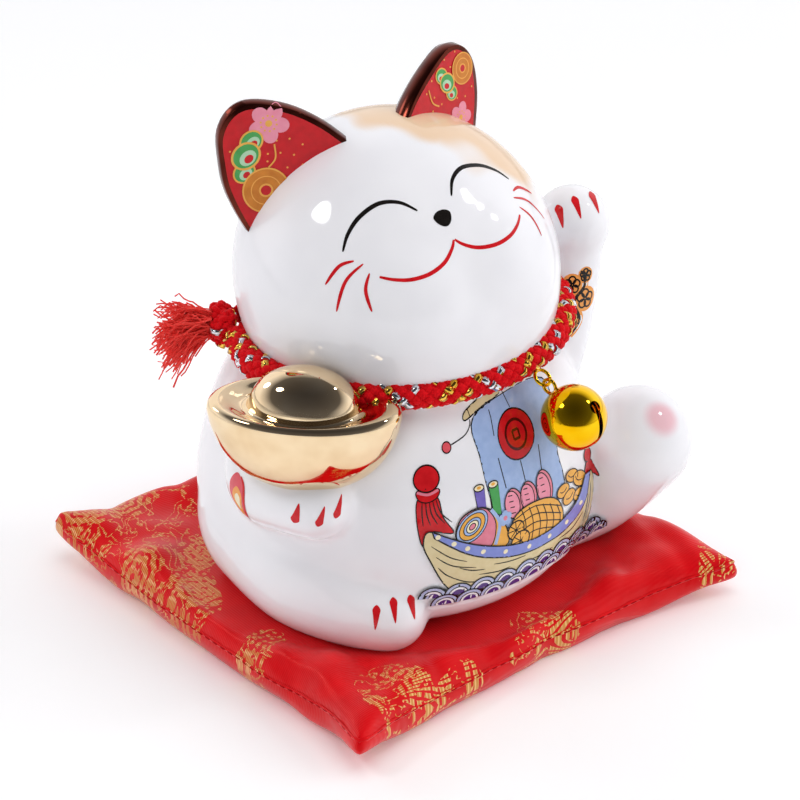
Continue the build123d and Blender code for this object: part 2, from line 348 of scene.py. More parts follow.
def make_ceramic(glaze):
    """The luted and glazed figure as one skin, smooth where its pieces run together."""
    bm = bmesh.new()
    turned(bm, TORSO_OUTLINE)
    bmesh.ops.scale(bm, vec=(1, TORSO_DEPTH, 1), verts=bm.verts)
    bmesh.ops.recalc_face_normals(bm, faces=bm.faces)
    add_ball(bm, HEAD_CENTRE, HEAD_SEMI, HEAD_FRAME)
    for side in (1, -1):
        cheek = HEAD_CENTRE + head_point(side * 36, -28, HEAD_RADIUS * 0.36)
        add_ball(bm, cheek, (HEAD_RADIUS * 0.66,) * 3)
    for stations in (RAISED_ARM, INGOT_ARM, LEFT_LEG, RIGHT_LEG, TAIL):
        add_limb(bm, stations)
    piece = finish_piece("glazed_figure", bm, "cat", [glaze], nodes=CERAMIC_NODES)
    remesh = piece.modifiers.new("skin", "REMESH")
    remesh.mode = "VOXEL"
    remesh.voxel_size = VOXEL * MM
    smooth = piece.modifiers.new("fillet", "SMOOTH")
    smooth.factor = 0.5
    smooth.iterations = FILLET_PASSES
    settle(piece)
    mesh = piece.data
    for vertex in mesh.vertices:
        vertex.co.z = max(vertex.co.z, (SEAT_Z + 0.05) * MM)
    masks = {"calico": [], "rose": []}
    back = HEAD_FRAME.to_3x3().inverted()
    for vertex in mesh.vertices:
        at = vertex.co / MM
        own = back @ (at - HEAD_CENTRE)
        lon = math.degrees(math.atan2(own.x, -own.y))
        lat = math.degrees(math.atan2(own.z, math.hypot(own.x, own.y)))
        on_head = at.z > 60 and own.length > 25
        wave = 3 * math.sin(lon * 0.23) + 2 * math.sin(lat * 0.31 + 1)
        patch = min(math.hypot((lon - across) / wide, (lat - up) / high)
                    for across, up, wide, high in CALICO_LOBES) * 30 + wave
        masks["calico"].append(soft_step(patch, 30, 9) * on_head * 0.95)
        masks["rose"].append(soft_step((at - FOOT_PAD).length, PAD_REACH, 2.8) * 0.6)
    for name, values in masks.items():
        mesh.attributes.new(name, "FLOAT", "POINT").data.foreach_set("value", values)
    return piece


# ------------------------------------------------------------------ transfers
# Each part of a transfer lies a hair higher than the one before it, so that none flicker.
FIRST_LIFT = 0.02
LIFT_STEP = 0.0028
CLAW_LIFT = 0.05
PEN = 0.24


class Transfer:
    """Thin fired artwork laid on a surface through a chart from flat (x, y) to a place on it."""

    def __init__(self, name, skin, ink, chart, step=1.1):
        self.name, self.skin, self.ink, self.chart, self.step = name, skin, ink, chart, step
        self.bm = bmesh.new()
        self.colours = []
        self.layer = 1

    def number(self, colour):
        """The slot number of a colour of ink on this piece."""
        material = self.ink[colour]
        if material not in self.colours:
            self.colours.append(material)
        return self.colours.index(material)

    def fill(self, outline, colour, lift=None):
        """A filled shape."""
        part = bmesh.new()
        part.faces.new([part.verts.new((p[0], p[1], 0)) for p in outline])
        low = [min(p[k] for p in outline) for k in (0, 1)]
        high = [max(p[k] for p in outline) for k in (0, 1)]
        for k, way in ((0, (1, 0, 0)), (1, (0, 1, 0))):
            at = low[k] + self.step
            while at < high[k]:
                bmesh.ops.bisect_plane(part, geom=part.verts[:] + part.edges[:] + part.faces[:],
                                       plane_co=[at * w for w in way], plane_no=way)
                at += self.step
        bmesh.ops.triangulate(part, faces=part.faces)
        self.take(part, colour, lift)

    def line(self, points, widths, colour, closed=False, lift=None):
        """A stroke with a width at each point, or one width for all."""
        points = [Vector((p[0], p[1], 0)) for p in points]
        count = len(points)
        if isinstance(widths, (int, float)):
            widths = [widths] * count
        part = bmesh.new()
        rows = []
        for k, point in enumerate(points):
            before = points[k - 1] if k or closed else point
            after = points[(k + 1) % count] if k < count - 1 or closed else point
            way = (after - before).normalized()
            side = Vector((-way.y, way.x, 0)) * max(widths[k], 0.02) / 2
            rows.append((part.verts.new(point + side), part.verts.new(point - side)))
        for k in range(count if closed else count - 1):
            a, b = rows[k], rows[(k + 1) % count]
            part.faces.new((a[0], a[1], b[1], b[0]))
        self.take(part, colour, lift)

    def shape(self, outline, colour, width=PEN):
        """A filled shape with a black outline."""
        self.fill(outline, colour)
        self.line(outline, width, "black", closed=True)

    def blob(self, points, colour, width=PEN, steps=5):
        """A shape with a smooth outline through a few points."""
        self.shape(flat(points, steps, True), colour, width)

    def stroke(self, points, steps=6):
        """A fine black line, smooth through a few points."""
        self.line(flat(points, steps), PEN, "black")

    def take(self, part, colour, lift):
        """Lays a flat part on the surface and joins it to the piece; later parts lie higher."""
        height = lift if lift is not None else FIRST_LIFT + LIFT_STEP * self.layer
        self.layer += 1
        number = self.number(colour)
        made = {}
        for vert in part.verts:
            start, way = self.chart(vert.co.x, vert.co.y)
            spot, normal, _, _ = self.skin.ray_cast(start, way)
            if spot is not None:
                made[vert] = self.bm.verts.new(spot + normal * height)
        for face in part.faces:
            corners = [made.get(vert) for vert in face.verts]
            if None in corners:
                continue
            laid = self.bm.faces.new(corners)
            laid.material_index = number
        part.free()

    def finish(self, body):
        """Closes the transfer as one piece, facing out from the surface."""
        for face in self.bm.faces:
            face.normal_update()
            middle = face.calc_center_median()
            _, normal, _, _ = self.skin.find_nearest(middle)
            if normal is not None and face.normal.dot(normal) < 0:
                face.normal_flip()
        return finish_piece(self.name, self.bm, body, self.colours)


def skin_of(piece):
    """A ray-cast tree of a finished piece, in millimetres."""
    bm = bmesh.new()
    bm.from_mesh(piece.data)
    bmesh.ops.scale(bm, vec=(1 / MM,) * 3, verts=bm.verts)
    tree = BVHTree.FromBMesh(bm)
    bm.free()
    return tree


def face_chart(lon, lat):
    """Degrees left of and above the nose, as a line of sight towards the middle of the head."""
    way = head_point(lon, lat)
    return HEAD_CENTRE + way * 60, -way


def belly_chart(u, v):
    """Millimetres round the belly from the front, and height, laid on from the front right. Past
    BELLY_TURN the sheet runs straight on, over the root of the leg."""
    a = min(u, BELLY_TURN) / 38
    radius = BELLY_GUIDE[-1][1]
    for (low, first), (high, second) in zip(BELLY_GUIDE, BELLY_GUIDE[1:]):
        if low <= v < high:
            radius = first + (second - first) * (v - low) / (high - low)
    reach = radius / math.hypot(math.sin(a), math.cos(a) / BELLY_DEPTH)
    spot = Vector((math.sin(a) * reach, -math.cos(a) * reach, v))
    spot += Vector((math.cos(a), math.sin(a), 0)) * max(u - BELLY_TURN, 0)
    return spot + TRANSFER_WAY * 60, -TRANSFER_WAY


def flat_chart(centre, facing, up):
    """A chart that stamps flat artwork on a surface, facing one way, with its own up."""
    facing = Vector(facing).normalized()
    across = Vector(up).cross(facing).normalized()
    upward = facing.cross(across)

    def place(x, y):
        return Vector(centre) + across * x + upward * y + facing * 30, -facing
    return place


def ellipse(cx, cy, rx, ry, turn=0.0, steps=28, start=0.0, end=360.0):
    """Points round an ellipse or part of one."""
    out = []
    whole = abs(end - start) >= 360
    for k in range(steps if whole else steps + 1):
        a = math.radians(start + (end - start) * k / steps)
        x, y = rx * math.cos(a), ry * math.sin(a)
        t = math.radians(turn)
        out.append((cx + x * math.cos(t) - y * math.sin(t), cy + x * math.sin(t) + y * math.cos(t)))
    return out


def taper(count, widest, ends=0.25, peak=0.5):
    """Brush stroke widths: thin at both ends and widest at the peak."""
    out = []
    for k in range(count):
        t = k / (count - 1)
        t = t / peak / 2 if t < peak else 0.5 + (t - peak) / (1 - peak) / 2
        out.append(widest * (ends + (1 - ends) * math.sin(math.pi * t) ** 0.7))
    return out


def flat(points, steps=6, closed=False):
    """A smooth flat curve through a few points."""
    return [(p.x, p.y) for p in curve_through([(x, y, 0) for x, y in points], steps, closed)]


def make_face(skin, ink):
    """Closed smiling eyes, nose, mouth and whiskers."""
    art = Transfer("face_transfer", skin, ink, face_chart, step=2.5)
    for side in (1, -1):
        eye = flat([(side * x, y) for x, y in ((7.5, 6.5), (12.0, 12.3), (19.0, 15.3), (27.5, 14.0),
                                               (34.0, 10.3), (38.5, 5.5))], 8)
        art.line(eye, taper(len(eye), 1.75, 0.3), "black")
        smile = flat([(side * x, y) for x, y in ((0.2, -8.8), (2.5, -11.6), (7.5, -14.8), (14.5, -16.0),
                                                 (21.5, -14.8), (27.0, -12.0), (31.0, -8.8))], 8)
        art.line(smile, taper(len(smile), 1.45, 0.5, 0.4), "red")
        for whisker in (((36.5, 0.6), (42.0, 1.6), (49.5, -1.4)), ((34.0, -2.0), (42.5, -4.2), (51.0, -11.4)),
                        ((33.5, -6.0), (37.5, -10.5), (39.3, -17.6))):
            hair = flat([(side * x, y) for x, y in whisker], 8)
            art.line(hair, taper(len(hair), 1.3, 0.3, 0.6), "red")
    nose = flat([(-3.6, 1.2), (-1.6, 3.0), (1.6, 3.0), (3.6, 1.2), (2.4, -1.9), (0, -3.3), (-2.4, -1.9)],
                6, True)
    art.fill(nose, "black")
    return art.finish("cat")


def claw(art, x, y, length, turn):
    """One painted claw: a drop that is round at the top and pointed below, before it is turned."""
    t = math.radians(turn)
    drop = flat([(0, -length * 0.62), (-CLAW_WIDTH * 0.36, 0), (-CLAW_WIDTH * 0.42, length * 0.22),
                 (0, length * 0.38), (CLAW_WIDTH * 0.42, length * 0.22), (CLAW_WIDTH * 0.36, 0)],
                6, True)
    art.fill([(x + a * math.cos(t) - b * math.sin(t), y + a * math.sin(t) + b * math.cos(t))
              for a, b in drop], "red", lift=CLAW_LIFT)


CLAW_WIDTH = 1.75
# Each painted paw: its middle, the way it faces, its claws' length, and each claw's place and turn.
PAWS = {"raised_claws": ((37.4, -11.1, 77.7), (-0.42, -0.72, 0.55), 4.9,
                         ((-3.4, -1.5, 6), (0, 0, 10), (3.9, 0.9, 12))),
        "ingot_claws": ((-37.6, -23.2, 41.0), (-0.5, -0.85, 0.1), 4.4,
                        ((-4.4, -0.4, 166), (0, -0.6, 160), (3.5, 0.7, 160))),
        "foot_claws": ((-26.6, -31.8, 19.2), (-0.5, -0.8, 0.35), 5.0,
                       ((-3.5, -0.7, -6), (0, 0.5, 2), (3.6, 0.6, 8)))}


def make_claws(skin, ink):
    """Three painted claws on each paw that shows its front."""
    for name, (centre, facing, length, marks) in PAWS.items():
        art = Transfer(name, skin, ink, flat_chart(centre, facing, UP), step=0.6)
        for x, y, turn in marks:
            claw(art, x, y, length, turn)
        art.finish("cat")


# The barrel that the ship is drawn on, height and radius, and the side it is laid on from.
BELLY_GUIDE = [(9.6, 34.6), (13.5, 38.2), (20.0, 40.0), (28.0, 40.2), (37.0, 39.0), (45.0, 36.6),
               (52.5, 33.0), (58.5, 28.4)]
BELLY_DEPTH = 0.93
BELLY_TURN = 6.0
TRANSFER_WAY = Vector((-0.55, -0.66, 0.51)).normalized()


def draw_sail(art):
    """One sheet with sewn seams, a rolled yard above it, and a red disc with a coin on it."""
    art.blob([(-7.0, 53.0), (-7.1, 46.5), (-6.0, 38.0), (-4.0, 31.0), (13.0, 31.0), (13.6, 40.0),
              (14.6, 47.0), (15.5, 54.0), (4.0, 55.0)], "sky", 0.3)
    for seam in (((-1.9, 53.6), (-2.4, 49.0)), ((-2.7, 45.0), (-1.9, 38.8)), ((4.0, 56.0), (4.2, 52.6)),
                 ((3.0, 42.8), (3.3, 38.6)), ((8.8, 43.8), (8.2, 38.0))):
        art.stroke(seam)
    art.blob([(-8.9, 53.1), (-8.6, 54.4), (-3.5, 55.9), (2.5, 56.8), (2.8, 55.4),
              (-3.2, 54.6)], "straw")
    art.stroke([(-7.4, 53.3), (-7.6, 54.7)], 3)
    art.stroke([(-7.7, 53.1), (-8.2, 52.0), (-9.8, 50.7), (-13.4, 49.6)])
    art.shape(ellipse(-14.6, 49.3, 1.05, 1.0), "coral")
    x, y = 3.6, 47.7
    art.shape(ellipse(x, y, 5.1, 4.7), "red", 0.3)
    art.line(ellipse(x, y, 3.0, 2.7), 0.55, "ember", closed=True)
    for corner in range(4):
        ends = [math.radians(90 * (corner + k) + 45) for k in (0, 1)]
        art.line([(x + 1.25 * math.cos(a), y + 1.15 * math.sin(a)) for a in ends], 0.5, "ember")


def draw_tassels(art):
    """The bow and stern tassels, each a ball, a cuff and a skirt of strands."""
    art.blob([(-21.5, 40.8), (-22.0, 36.5), (-20.9, 31.0), (-19.4, 33.9), (-14.6, 32.9),
              (-16.6, 36.5), (-17.7, 40.7)], "red")
    for k in range(5):
        x = -20.8 + 0.72 * k
        art.line(flat([(x, 40.2), (x - 0.1 + 0.25 * k, 37.5), (x + 0.1 + 0.75 * k, 35.2)], 5),
                 taper(11, 0.28), "black")
    art.blob([(-21.7, 42.2), (-21.5, 40.4), (-19.6, 39.8), (-17.6, 40.6), (-17.3, 42.2)], "red")
    art.line(flat([(-21.8, 41.9), (-19.5, 41.3), (-17.3, 42.0)], 5), 0.5, "rose")
    art.shape(ellipse(-19.7, 44.3, 2.75, 2.5), "red", 0.3)
    art.blob([(21.6, 34.6), (20.8, 32.4), (21.6, 31.0), (22.8, 32.0), (25.4, 30.0), (24.0, 33.0),
              (23.0, 34.8)], "red")
    art.shape(ellipse(22.2, 36.0, 1.15, 1.5), "red")


def draw_cargo(art):
    """Scrolls, rice cakes, a striped drum, roped bales and gold."""
    for x, y, colour in ((-8.4, 40.6, "violet"), (-5.0, 40.5, "leaf")):
        art.shape([(x - 1.1, y - 0.1), (x - 0.5, y - 6.2), (x + 1.2, y - 6.4), (x + 1.15, y)], colour)
        art.shape(ellipse(x, y, 1.15, 0.65), "cream")
        art.fill(ellipse(x, y + 0.05, 0.5, 0.3), "amber")
    for x, y, high in ((-0.9, 35.2, 3.2), (3.2, 35.3, 3.1), (7.9, 35.2, 3.8)):
        art.shape(ellipse(x + 0.5, y, 2.1, high, 12), "rose")
        art.shape(ellipse(x, y - 0.15, 1.85, high * 0.93, 12), "pink")
        for k in range(4):
            level = y + high * (0.62 - 0.4 * k)
            art.line([(x - 1.0 + 0.2 * k, level), (x + 0.1 + 0.2 * k, level - 0.15)], 0.22, "black")
    for x, y, size, turn in ((13.6, 32.0, 1.9, 10), (16.6, 34.0, 1.9, -15), (18.9, 32.4, 2.2, -30),
                             (15.2, 30.0, 2.0, 20), (18.4, 29.2, 1.9, 0)):
        art.shape(ellipse(x, y, size, size * 0.72, turn), "amber")
        art.line(ellipse(x, y + size * 0.3, size * 0.6, size * 0.45, turn, 12, 200, 330), 0.2, "black")
    art.blob([(-12.6, 29.2), (-14.2, 32.4), (-12.9, 35.6), (-9.8, 36.9), (-6.6, 36.0), (-3.4, 32.3),
              (-2.6, 27.6), (-7.0, 27.0)], "amber", 0.3, steps=6)
    art.blob([(-12.8, 29.5), (-14.1, 32.4), (-12.9, 35.5), (-9.8, 36.8), (-7.0, 36.0), (-5.3, 32.5),
              (-6.6, 28.3), (-10.2, 28.6)], "rose", steps=6)
    art.line(flat([(-6.2, 35.8), (-4.4, 32.4), (-5.7, 28.2)], 8), 0.75, "sky")
    for size, colour in ((1.0, "sky"), (0.82, "amber"), (0.55, "sky"), (0.38, "cream"), (0.2, "rose")):
        art.shape(ellipse(-10.6, 33.4, 3.9 * size, 2.7 * size, 38), colour, 0.2)
    for petal in range(5):
        a = math.radians(72 * petal + 20)
        art.fill(ellipse(-3.0 + 0.9 * math.cos(a), 33.0 + 0.9 * math.sin(a), 0.75, 0.75, 0, 14),
                 "sky")
    art.fill(ellipse(-3.0, 33.0, 0.5, 0.5, 0, 12), "rose")
    art.blob([(-1.6, 29.6), (-0.6, 32.4), (3.0, 33.6), (8.0, 33.0), (11.6, 31.0), (13.0, 27.2),
              (11.5, 24.0), (0.0, 25.2)], "amber", 0.3, steps=6)
    for k in range(4):
        art.stroke([(-0.9 + 0.3 * k, 31.8 - 1.6 * k), (5.0, 32.6 - 1.7 * k),
                    (12.4, 29.4 - 1.6 * k)], 8)
    for k in range(6):
        art.stroke([(1.2 + 2.0 * k, 33.2 - 0.12 * k * k), (2.0 + 2.0 * k, 30.0 - 0.1 * k * k),
                    (1.4 + 2.1 * k, 25.6)], 8)
    for x, y, size in ((-0.6, 29.6, 2.1), (0.4, 26.9, 2.4)):
        art.shape(ellipse(x, y, size, size * 0.85, 20), "amber", 0.3)
        for k in range(8):
            a = math.radians(45 * k)
            art.line([(x, y), (x + size * math.cos(a), y + size * 0.85 * math.sin(a))], 0.2, "black")


def draw_hull(art):
    """The planked hull, then the rail with its studs."""
    art.blob([(-18.9, 33.9), (-20.8, 31.6), (-19.4, 27.6), (-16.6, 22.0), (-14.0, 20.2),
              (-6.0, 19.6), (4.0, 19.3), (13.0, 19.2), (20.4, 20.2), (22.6, 25.0), (23.0, 31.4),
              (21.4, 32.2), (18.8, 27.4), (12.0, 24.4), (0.0, 24.6),
              (-10.0, 28.0)], "straw", 0.3, steps=6)
    for plank in (((-19.3, 31.0), (-15.5, 28.0), (-12.0, 26.3)), ((-18.4, 28.6), (-15.0, 26.0), (-10.0, 24.4)),
                  ((-18.0, 26.2), (-16.4, 24.3), (-14.4, 22.9)), ((-13.6, 25.2), (-11.0, 24.0), (-8.0, 23.4)),
                  ((-15.6, 23.6), (-12.0, 21.6), (-9.0, 20.9)), ((-9.4, 22.6), (-5.0, 21.9), (-2.0, 21.9)),
                  ((-6.0, 23.9), (-2.0, 23.2), (2.0, 22.9)), ((1.0, 21.6), (6.0, 21.0), (10.0, 21.0)),
                  ((12.0, 22.0), (16.0, 22.4), (19.4, 24.6)), ((11.0, 20.3), (16.0, 20.6), (19.0, 21.6)),
                  ((20.6, 22.4), (21.6, 26.0), (21.9, 30.0)), ((19.6, 22.2), (20.6, 25.0), (21.0, 28.0))):
        board = flat(plank, 6)
        art.line(board, taper(len(board), 0.26), "black")
    rail_top = flat([(-19.0, 33.9), (-15.2, 31.9), (-11.7, 30.2), (-7.7, 28.6), (-1.4, 26.7), (6.0, 25.6),
                     (12.5, 26.0), (17.5, 28.4), (20.4, 32.4)], 6)
    rail_low = flat([(-18.6, 32.6), (-15.3, 30.2), (-12.1, 28.1), (-7.7, 26.0), (-0.5, 23.9), (7.0, 23.0),
                     (13.6, 23.2), (19.4, 26.0), (22.1, 32.4)], 6)
    art.shape(rail_top + rail_low[::-1], "periwinkle", 0.3)
    for k in range(2, len(rail_top) - 2, 5):
        x = (rail_top[k][0] + rail_low[k][0]) / 2
        y = (rail_top[k][1] + rail_low[k][1]) / 2
        art.fill(ellipse(x, y, 0.55, 0.5, 0, 14), "cream")


def draw_waves(art):
    """Two rows of nested scallops."""
    for level, shift in ((20.2, 1.6), (18.2, 4.2)):
        for k in range(9):
            x = -20.6 + shift + 5.3 * k
            y = level - 0.06 * k * (1 if k > 4 else 0)
            for size, colour in ((1.0, "black"), (0.9, "mist"), (0.7, "black"), (0.62, "white"),
                                 (0.46, "plum")):
                art.fill(ellipse(x, y - 1.1, 3.1 * size, 2.7 * size, 0, 22, 0, 180), colour)
    for k in range(9):
        x = -21.6 + 5.3 * k
        art.fill(ellipse(x + 4.2, 16.2, 2.75, 0.9, 0, 18, 0, 180), "white")


def make_ship(skin, ink):
    """A laden treasure ship riding on scalloped waves, drawn round the belly."""
    art = Transfer("ship_transfer", skin, ink, belly_chart)
    for draw in (draw_sail, draw_tassels, draw_cargo, draw_hull, draw_waves):
        draw(art)
    return art.finish("cat")


def blossom(art, x, y, size, petal="pink"):
    """A five-petalled plum blossom."""
    for k in range(5):
        a = math.radians(72 * k + 90)
        art.fill(ellipse(x + size * 0.52 * math.cos(a), y + size * 0.52 * math.sin(a),
                         size * 0.42, size * 0.36, math.degrees(a), 18), petal)
    art.fill(ellipse(x, y, size * 0.16, size * 0.16, 0, 12), "amber")
    for k in range(10):
        a = math.radians(36 * k + 18)
        art.fill(ellipse(x + size * 0.36 * math.cos(a), y + size * 0.36 * math.sin(a),
                         size * 0.05, size * 0.05, 0, 8), "amber")


def ear_frame(side):
    """Where an ear grows: +X runs outwards along its root, -Y is its painted front, +Z is its tip."""
    axis = Vector((side * 0.487, -0.375, 0.79))
    wide = Vector((side * 0.74, 0.59, -0.32))
    wide = (wide - axis * wide.dot(axis)).normalized()
    thick = axis.normalized().cross(wide)
    if side < 0:
        wide = -wide
        thick = axis.normalized().cross(wide)
    turn = Matrix((wide, thick, axis.normalized())).transposed().to_4x4()
    root = Vector((side * 16.4, -12.0, 21.8))
    return Matrix.Translation(HEAD_CENTRE) @ HEAD_FRAME @ Matrix.Translation(root) @ turn


EAR_OUTLINES = {
    1: [(-12.5, -4.0), (-10.5, 2.5), (-6.6, 9.2), (-2.2, 14.2), (2.0, 15.2), (6.1, 12.8), (8.9, 7.2),
        (10.0, 0.5), (10.4, -6.0)],
    -1: [(-13.5, -4.0), (-12.6, 4.2), (-10.2, 11.4), (-6.0, 17.2), (-2.0, 19.0), (2.6, 17.6), (6.4, 13.4),
         (9.8, 8.0), (12.3, 0.0), (12.8, -6.0)]}
# Where each ear's blossom, pine and coin are painted: x, height and size.
EAR_ART = {1: ((4.8, 1.6, 3.4), (-1.4, 7.4, 0.8), (2.8, 11.0, 3.2)),
           -1: ((-5.4, 12.4, 4.3), (1.9, 10.6, 1.05), (4.2, 3.0, 4.6))}


def ear_outline(side, inset=0.0):
    """The ear's front, a leaning triangle with a round tip, drawn in its own frame."""
    middle = Vector((0.0, 4.0, 0))
    out = []
    for p in curve_through([(x, y, 0) for x, y in EAR_OUTLINES[side]], 5):
        way = p - middle
        out.append(middle + way * (1 - inset / way.length))
    return [(side * p.x, p.y) for p in out]


def make_ear(side, name, node, lustre, ink):
    """One ear: a lustre-glazed shell with a painted front sunk inside a narrow rim."""
    place = ear_frame(side)
    bm = bmesh.new()
    front = bm.faces.new([bm.verts.new((x, -2.4, z)) for x, z in ear_outline(side)])
    bmesh.ops.inset_region(bm, faces=[front], thickness=0.5, depth=0.0)
    bmesh.ops.inset_region(bm, faces=[front], thickness=0.35, depth=-0.45)
    rim = [edge for edge in bm.edges if edge.is_boundary]
    for push, shrink in ((1.6, 1.03), (1.8, 0.97), (1.7, 0.86), (1.2, 0.7), (0.6, 0.5)):
        grown = bmesh.ops.extrude_edge_only(bm, edges=rim)["geom"]
        verts = [part for part in grown if isinstance(part, bmesh.types.BMVert)]
        rim = [part for part in grown if isinstance(part, bmesh.types.BMEdge)
               and all(v in verts for v in part.verts)]
        middle = Vector((side * 0.5, 0, 1.0))
        for vert in verts:
            flat_at = vert.co - middle
            vert.co = middle + Vector((flat_at.x * shrink, flat_at.y + push, flat_at.z * shrink))
    bmesh.ops.contextual_create(bm, geom=rim)
    bmesh.ops.triangulate(bm, faces=[face for face in bm.faces if len(face.verts) > 4])
    bmesh.ops.recalc_face_normals(bm, faces=bm.faces)
    bmesh.ops.transform(bm, matrix=place, verts=bm.verts)
    ear = finish_piece(name, bm, "cat", [lustre], nodes=[node])
    bevel = ear.modifiers.new("round", "BEVEL")
    bevel.width = 0.22 * MM
    bevel.segments = 2
    bevel.limit_method = "ANGLE"
    bevel.angle_limit = math.radians(35)
    settle(ear)
    paint_ear(side, name, place, skin_of(ear), ink)


def paint_ear(side, name, place, skin, ink):
    """The ear's red front, with a blossom, a pine and a coin on a dusting of gold."""
    facing = place.to_3x3() @ Vector((0, -1, 0))
    chart = flat_chart(place @ Vector((0, -3.5, 0)), facing, place.to_3x3() @ Vector((0, 0, 1)))
    hand = 1 if (place.to_3x3() @ Vector((1, 0, 0))).dot(
        (place.to_3x3() @ Vector((0, 0, 1))).cross(facing)) > 0 else -1

    def own(points):
        return [(hand * x, y) for x, y in points]

    art = Transfer(name + "_panel", skin, ink, chart, step=2.0)
    art.fill(own(ear_outline(side, 0.95)), "crimson")
    flower, pine, coin = EAR_ART[side]

    def spot(x, y):
        return own([(side * x, y)])[0]

    for k in range(26):
        x, y = 7.5 * math.cos(2.4 * k) * (k / 26) ** 0.5, 7 + 8 * math.sin(2.4 * k) * (k / 26) ** 0.5
        art.fill(ellipse(*spot(x, y), 0.2, 0.2, 0, 8), "amber")
    blossom(art, *spot(flower[0], flower[1]), flower[2])
    art.line(own(flat([(side * (pine[0] - 5.2), pine[1] - 2.0), (side * (pine[0] - 3.4), pine[1] - 4.2),
                       (side * (pine[0] - 1.2), pine[1] - 4.6)], 6)), 0.3, "amber")
    for x, y, size in ((2.6, -1.9, 2.0), (-2.4, 1.5, 2.1), (0.2, 0.2, 2.6)):
        x, y, size = pine[0] + x * pine[2], pine[1] + y * pine[2], size * pine[2]
        art.fill(ellipse(*spot(x, y), size * 1.12, size * 0.98, 0, 24), "amber")
        art.fill(ellipse(*spot(x, y), size * 0.96, size * 0.82, 0, 24), "leaf")
        art.fill(ellipse(*spot(x, y - size * 0.2), size * 0.66, size * 0.5, 0, 20), "mint")
        art.fill(ellipse(*spot(x, y - size * 0.3), size * 0.36, size * 0.28, 0, 16), "crimson")
    for size, colour in ((1.0, "amber"), (0.93, "orange"), (0.3, "amber"), (0.22, "crimson")):
        art.fill(ellipse(*spot(coin[0], coin[1]), coin[2] * size, coin[2] * size, 0, 32), colour)
    art.line(ellipse(*spot(coin[0], coin[1]), coin[2] * 0.62, coin[2] * 0.62, 0, 28), 0.2, "amber",
             closed=True)
    art.finish("cat")


def make_flame(skin, ink):
    """A brushed flame on the elbow of the arm that holds the ingot."""
    art = Transfer("elbow_flame", skin, ink, flat_chart((-42.9, -4.6, 38.7), (-0.8, -0.55, 0.25), (0, 0, 1)),
                   step=0.7)
    flame = flat([(0.0, 4.6), (-1.7, 3.0), (-2.0, 0.4), (-0.6, -2.2), (2.5, -5.2), (1.9, -1.4), (1.8, 2.4)],
                 6, True)
    art.fill(flame, "coral", lift=0.04)
    for size, colour, lift in ((0.62, "glow", 0.055), (0.34, "cream", 0.07)):
        art.fill([(0.25 + (x - 0.25) * size, -1.0 + (y + 0.2) * size) for x, y in flame], colour, lift)
    edge = flat([(0.9, 4.2), (1.8, 2.4), (1.9, -1.4), (2.5, -5.2)], 6)
    art.line(edge, taper(len(edge), 0.55, 0.3), "red", lift=0.085)
    return art.finish("cat")


def make_arm_ornament(skin, ink):
    """A brushed blossom sprig over an orange glow on the raised forearm."""
    art = Transfer("arm_ornament", skin, ink, flat_chart((36.0, -12.0, 57.6), (-0.4, -0.9, 0.15), (0.12, 0, 1)),
                   step=1.0)
    stem = flat([(-1.6, -6.4), (0.6, -3.4), (-0.8, 0.2), (1.6, 3.4), (0.6, 6.4)], 8)
    art.line(stem, taper(len(stem), 1.9, 0.6), "glow")
    for x, y, size in ((-1.2, 3.6, 2.0), (1.8, 0.6, 2.3), (-1.6, -3.0, 2.1), (1.7, 5.4, 1.5)):
        art.fill(ellipse(x, y, size * 1.12, size * 1.12, 0, 20), "glow")
    art.line(stem, taper(len(stem), 0.7, 0.4), "black")
    for x, y, size in ((-1.2, 3.6, 2.0), (1.8, 0.6, 2.3), (-1.6, -3.0, 2.1), (1.7, 5.4, 1.5)):
        for k in range(5):
            a = math.radians(72 * k + 90)
            cx, cy = x + size * 0.48 * math.cos(a), y + size * 0.48 * math.sin(a)
            art.line(ellipse(cx, cy, size * 0.36, size * 0.36, 0, 14), 0.34, "black", closed=True)
    return art.finish("cat")


# ------------------------------------------------------------------ ingot
# The ingot's profile from its keel to the top of its dome, how deep its hull and its dome are for
# their width, and how it is turned on the cat's hand.
INGOT_OUTLINE = [(0.0, -17.2), (5.0, -16.8), (9.6, -15.2), (13.5, -12.4), (16.3, -8.6), (17.9, -4.6),
                 (18.5, -1.9), (18.6, -0.4), (18.0, 0.7), (16.8, 1.1), (15.2, 0.8), (13.2, 0.1),
                 (11.6, -0.1), (10.8, 0.3), (10.4, 1.6), (9.4, 3.8), (7.4, 5.9), (4.6, 7.3),
                 (2.0, 7.9), (0.0, 8.0)]
HULL_DEPTH = 0.585
DOME_DEPTH = 0.72
DOME_RISE = 6.4
INGOT_TURN = math.radians(-47)


def make_ingot(gold):
    """A boat-shaped ingot: deep hull, bevelled rim, a deck that dips, and a round dome."""
    low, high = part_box("gold_ingot")
    middle = Vector(((low.x + high.x) / 2 / MM, (low.y + high.y) / 2 / MM, high.z / MM - DOME_RISE))
    bm = bmesh.new()
    turned(bm, INGOT_OUTLINE)
    for vert in bm.verts:
        on_dome = vert.co.z > -1 and math.hypot(vert.co.x, vert.co.y) < 12
        vert.co.y *= DOME_DEPTH if on_dome else HULL_DEPTH
    bmesh.ops.recalc_face_normals(bm, faces=bm.faces)
    bmesh.ops.transform(bm, matrix=Matrix.Translation(middle) @ Matrix.Rotation(INGOT_TURN, 4, "Z"),
                        verts=bm.verts)
    return finish_piece("lustre_ingot", bm, "cat", [gold], nodes=["gold_ingot"])


